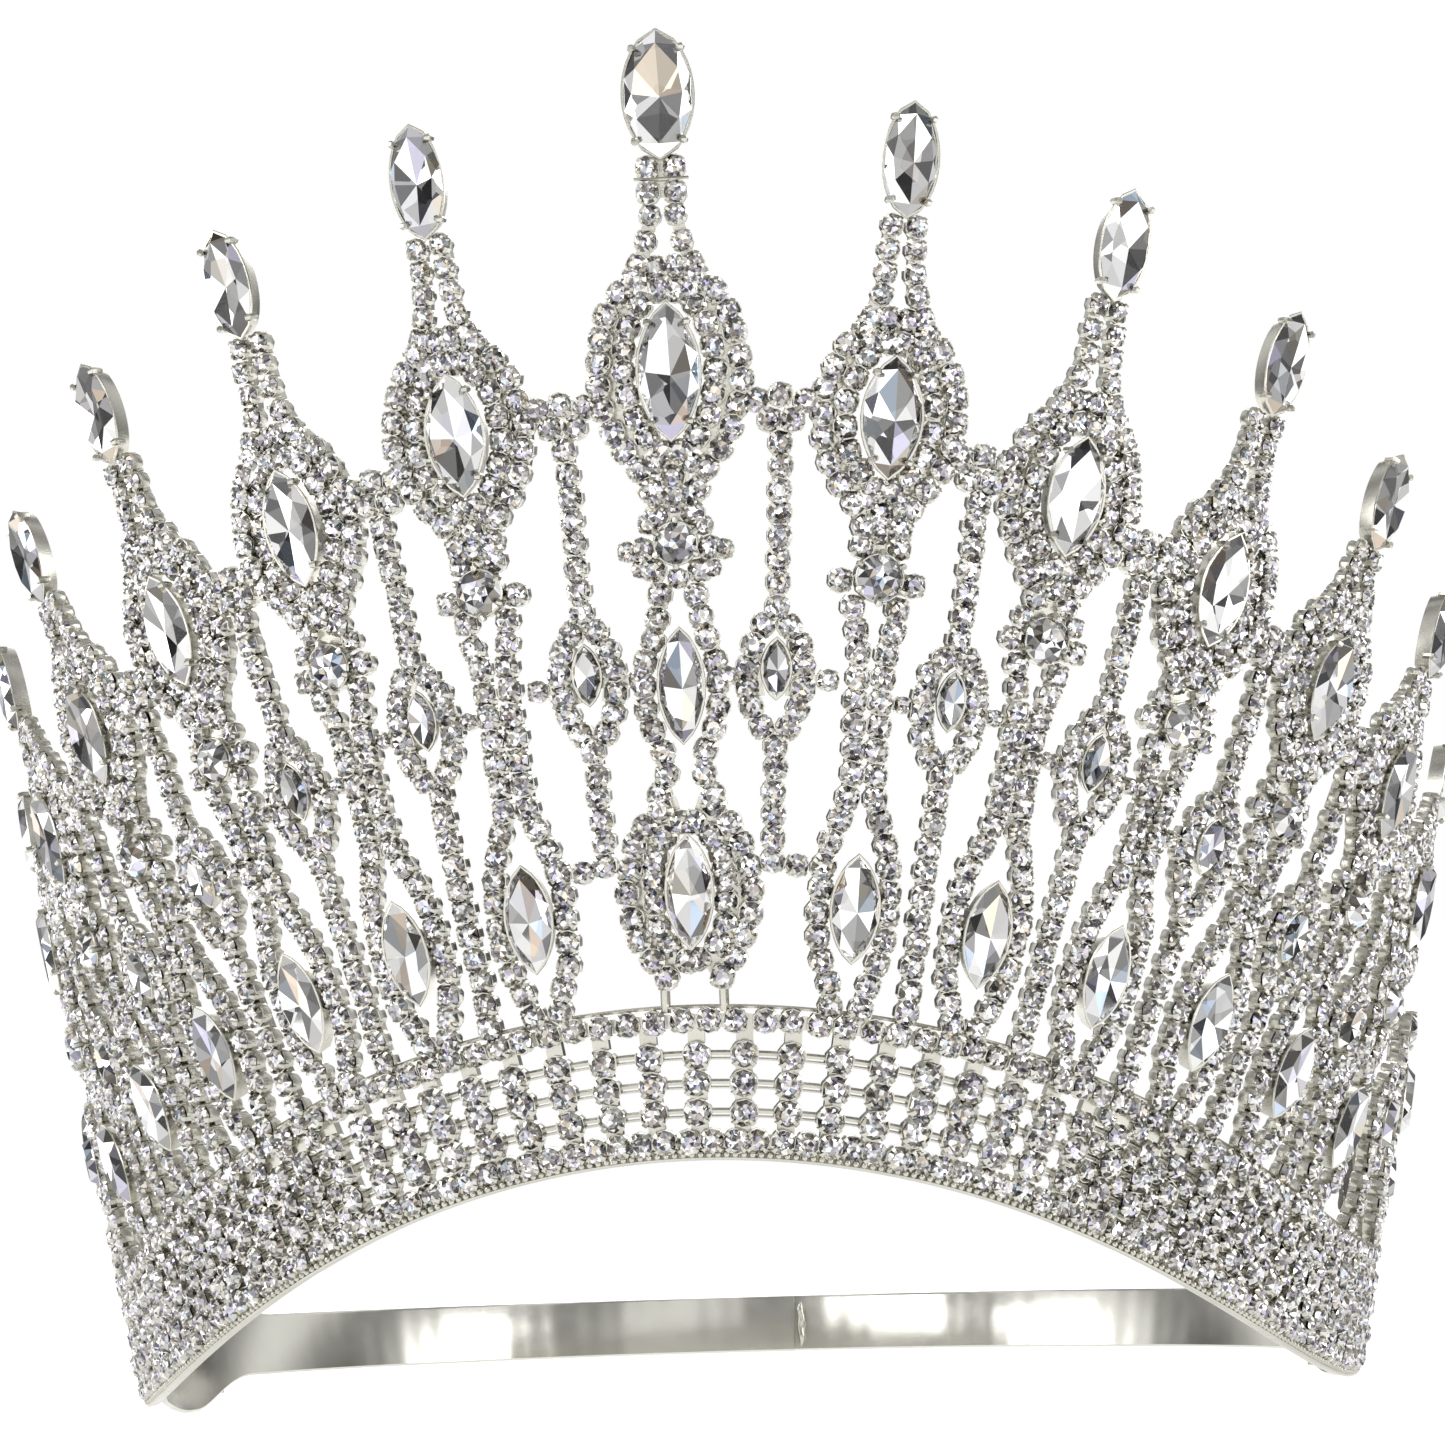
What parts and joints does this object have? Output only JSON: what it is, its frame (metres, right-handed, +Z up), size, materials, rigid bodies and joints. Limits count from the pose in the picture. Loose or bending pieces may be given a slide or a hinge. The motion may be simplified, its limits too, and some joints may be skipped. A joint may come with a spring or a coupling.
{
  "type": "bridal tiara",
  "caption": "Tall silver-tone bridal tiara with fanned rhinestone columns, a lattice base band arched over the forehead and a plain back strap.",
  "frame": {"origin": "centre of the head opening, in the plane of the back strap's lower edge", "axes": "+Z up the tiara, away from the head; -Y towards the front; +X to the right as seen from the front"},
  "size_m": [0.171, 0.1707, 0.137],
  "materials": {
    "silver_plate": "bright silver plate on cast and soldered cup chain",
    "polished_strap": "polished silver plate",
    "crystal": "faceted clear crystal with foiled back"
  },
  "bodies": {
    "root": {"column_frame_l8": "silver_plate", "column_frame_l7": "silver_plate", "column_frame_l6": "silver_plate", "column_frame_l5": "silver_plate", "column_frame_l4": "silver_plate", "column_frame_l3": "silver_plate", "column_frame_l2": "silver_plate", "column_frame_l1": "silver_plate", "column_frame_c": "silver_plate", "column_frame_r1": "silver_plate", "column_frame_r2": "silver_plate", "column_frame_r3": "silver_plate", "column_frame_r4": "silver_plate", "column_frame_r5": "silver_plate", "column_frame_r6": "silver_plate", "column_frame_r7": "silver_plate", "column_frame_r8": "silver_plate", "main_stone_l6": "crystal", "main_stone_l5": "crystal", "main_stone_l4": "crystal", "main_stone_l3": "crystal", "main_stone_l2": "crystal", "main_stone_l1": "crystal", "main_stone_c": "crystal", "main_stone_r1": "crystal", "main_stone_r2": "crystal", "main_stone_r3": "crystal", "main_stone_r4": "crystal", "main_stone_r5": "crystal", "main_stone_r6": "crystal", "tip_stone_l6": "crystal", "tip_stone_l5": "crystal", "tip_stone_l4": "crystal", "tip_stone_l3": "crystal", "tip_stone_l2": "crystal", "tip_stone_l1": "crystal", "tip_stone_c": "crystal", "tip_stone_r1": "crystal", "tip_stone_r2": "crystal", "tip_stone_r3": "crystal", "tip_stone_r4": "crystal", "tip_stone_r5": "crystal", "tip_stone_r6": "crystal", "bridge_l1": "silver_plate", "bridge_l2": "silver_plate", "bridge_l3": "silver_plate", "bridge_l4": "silver_plate", "bridge_l5": "silver_plate", "bridge_l6": "silver_plate", "bridge_r1": "silver_plate", "bridge_r2": "silver_plate", "bridge_r3": "silver_plate", "bridge_r4": "silver_plate", "bridge_r5": "silver_plate", "bridge_r6": "silver_plate", "base_band": "silver_plate", "milgrain_rim": "silver_plate", "back_strap_left": "polished_strap", "back_strap_right": "polished_strap", "strap_solder": "polished_strap"}
  },
  "joints": []
}
